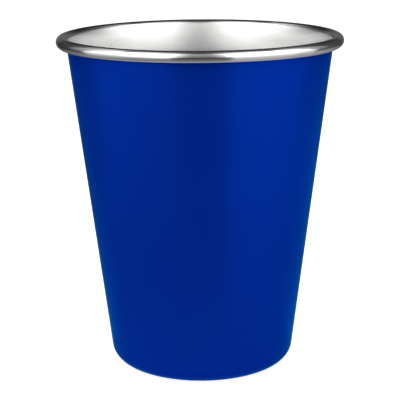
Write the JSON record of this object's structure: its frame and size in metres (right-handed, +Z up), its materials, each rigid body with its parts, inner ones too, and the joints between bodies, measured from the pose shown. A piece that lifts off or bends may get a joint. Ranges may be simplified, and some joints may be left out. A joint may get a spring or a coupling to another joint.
{
  "type": "drinking cup",
  "caption": "Tapered single-wall steel drinking cup with an outward rolled rim, a raised base panel and a blue painted outside.",
  "frame": {"origin": "centre of the foot ring, on the surface that the cup stands on", "axes": "+Z up along the cup's axis, from the foot to the mouth; the cup is round, so +X and +Y are free"},
  "size_m": [0.088, 0.088, 0.1035],
  "materials": {
    "bare_steel": "polished on the rolled rim, fine satin inside and under the foot",
    "blue_paint": "smooth satin gloss paint film"
  },
  "bodies": {
    "root": {"steel_cup": "bare_steel", "blue_coat": "blue_paint"}
  },
  "joints": []
}
